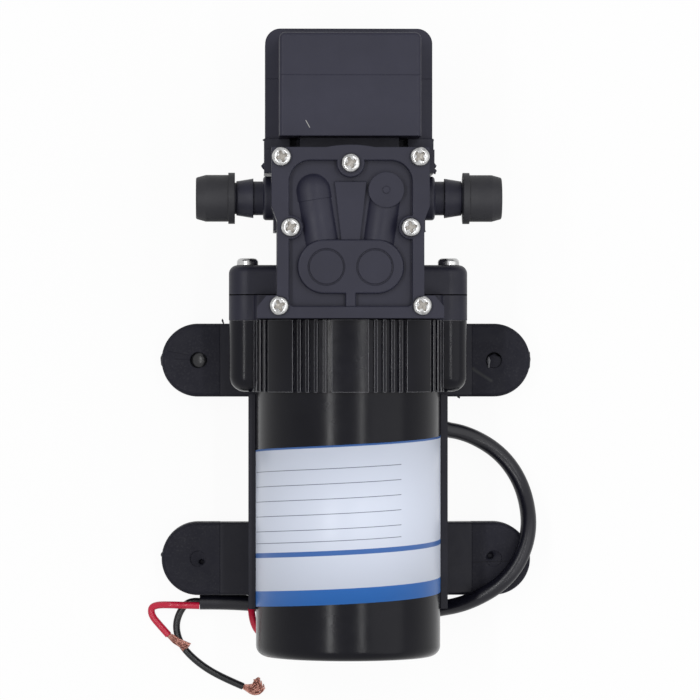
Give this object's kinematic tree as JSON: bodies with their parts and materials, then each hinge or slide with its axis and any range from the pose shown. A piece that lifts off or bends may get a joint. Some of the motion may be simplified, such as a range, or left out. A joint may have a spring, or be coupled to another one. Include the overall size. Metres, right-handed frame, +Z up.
{
  "type": "caravan water pump",
  "caption": "Small electric diaphragm water pump with a ribbed motor collar, a screwed valve cover, a pressure switch, capped hose tails and a cradle on rubber feet.",
  "frame": {"origin": "centre of the four foot holes, on the surface that the feet stand on", "axes": "+Y along the motor axis towards the pressure switch, +Z up through the foot holes towards the valve cover, +X to the right"},
  "size_m": [0.1033, 0.1748, 0.0623],
  "materials": {
    "head_plastic": "satin moulded plastic",
    "collar_plastic": "satin black glass-filled nylon",
    "foot_rubber": "matt black rubber",
    "cap_rubber": "matt black rubber",
    "motor_paint": "satin black paint on steel",
    "screw_steel": "bright zinc",
    "inner_steel": "ground steel",
    "core_steel": "stacked laminations",
    "magnet": "sintered ferrite",
    "copper": "bare copper",
    "carbon": "carbon graphite",
    "inner_plastic": "natural acetal",
    "seal_rubber": "black rubber seal",
    "cable_sleeve": "satin black sleeve",
    "wire_red": "red PVC",
    "wire_black": "black PVC"
  },
  "bodies": {
    "pump": {"base_cradle": "collar_plastic", "foot_front_left": "foot_rubber", "foot_front_right": "foot_rubber", "foot_rear_left": "foot_rubber", "foot_rear_right": "foot_rubber", "motor_can": "motor_paint", "motor_magnets": "magnet", "motor_front_plate": "inner_steel", "front_bearing": "inner_steel", "rear_bearing": "copper", "brush_card": "inner_plastic", "brushes": "carbon", "ribbed_collar": "collar_plastic", "drive_housing": "head_plastic", "drive_bearing": "inner_steel", "pump_housing": "head_plastic", "clamp_screws": "screw_steel", "pump_diaphragm": "seal_rubber", "valve_plate": "head_plastic", "cover_gasket": "seal_rubber", "valve_cover": "head_plastic", "cover_screws": "screw_steel", "switch_body": "head_plastic", "switch_cap": "head_plastic", "switch_screws": "screw_steel", "switch_diaphragm": "seal_rubber", "switch_spring": "inner_steel", "microswitch": "collar_plastic", "cable_grommet": "cap_rubber", "cable_sleeve": "cable_sleeve", "lead_red": "wire_red", "lead_black": "wire_black", "red_strands": "copper", "black_strands": "copper", "motor_lead_red": "wire_red"},
    "rotor": {"motor_shaft": "inner_steel", "rotor_core": "core_steel", "rotor_windings": "copper", "commutator": "copper", "eccentric": "inner_steel"},
    "rod": {"connecting_rod": "inner_plastic", "rod_bearing": "inner_steel", "piston_plate": "inner_steel", "piston_screw": "screw_steel"},
    "inlet_valve": {"inlet_valve": "seal_rubber"},
    "outlet_valve": {"outlet_valve": "seal_rubber"},
    "switch_plunger": {"switch_plunger": "inner_plastic"},
    "microswitch_button": {"microswitch_button": "inner_plastic"},
    "adjusting_screw": {"adjusting_screw": "inner_plastic"},
    "inlet_cap": {"inlet_cap": "cap_rubber"},
    "outlet_cap": {"outlet_cap": "cap_rubber"}
  },
  "joints": [
    {"name": "rotor_spin", "type": "hinge", "parent": "pump", "child": "rotor", "pos_m": [0, 0.0504, 0.031], "axis": [0, 1, 0], "continuous": true},
    {"name": "rod_pivot", "type": "hinge", "parent": "rotor", "child": "rod", "pos_m": [0, 0.0504, 0.03], "axis": [0, 1, 0], "continuous": true, "deforming": ["pump_diaphragm"]},
    {"name": "inlet_valve_lift", "type": "slide", "parent": "pump", "child": "inlet_valve", "axis": [0, 0, -1], "range_m": [0, 0.0005], "stiffness_N_per_m": 40},
    {"name": "outlet_valve_lift", "type": "slide", "parent": "pump", "child": "outlet_valve", "axis": [0, 0, 1], "range_m": [0, 0.0005], "stiffness_N_per_m": 40},
    {"name": "switch_plunger_travel", "type": "slide", "parent": "pump", "child": "switch_plunger", "axis": [0, 1, 0], "range_m": [0, 0.0012], "stiffness_N_per_m": 1500, "springref_m": -0.002, "deforming": ["switch_spring"]},
    {"name": "microswitch_button_travel", "type": "slide", "parent": "pump", "child": "microswitch_button", "axis": [0, 1, 0], "range_m": [0, 0.0012], "stiffness_N_per_m": 60},
    {"name": "adjusting_screw_turn", "type": "hinge", "parent": "pump", "child": "adjusting_screw", "pos_m": [0, 0.108, 0.031], "axis": [0, 1, 0], "range_deg": [-180, 180]},
    {"name": "inlet_cap_pull", "type": "slide", "parent": "pump", "child": "inlet_cap", "axis": [-1, 0, 0], "range_m": [0, 0.015]},
    {"name": "outlet_cap_pull", "type": "slide", "parent": "pump", "child": "outlet_cap", "axis": [1, 0, 0], "range_m": [0, 0.015]}
  ],
  "couplings": [
    {"joint": "rod_pivot", "follows": "rotor_spin", "ratio": -1},
    {"joint": "microswitch_button_travel", "follows": "switch_plunger_travel", "ratio": 1}
  ]
}
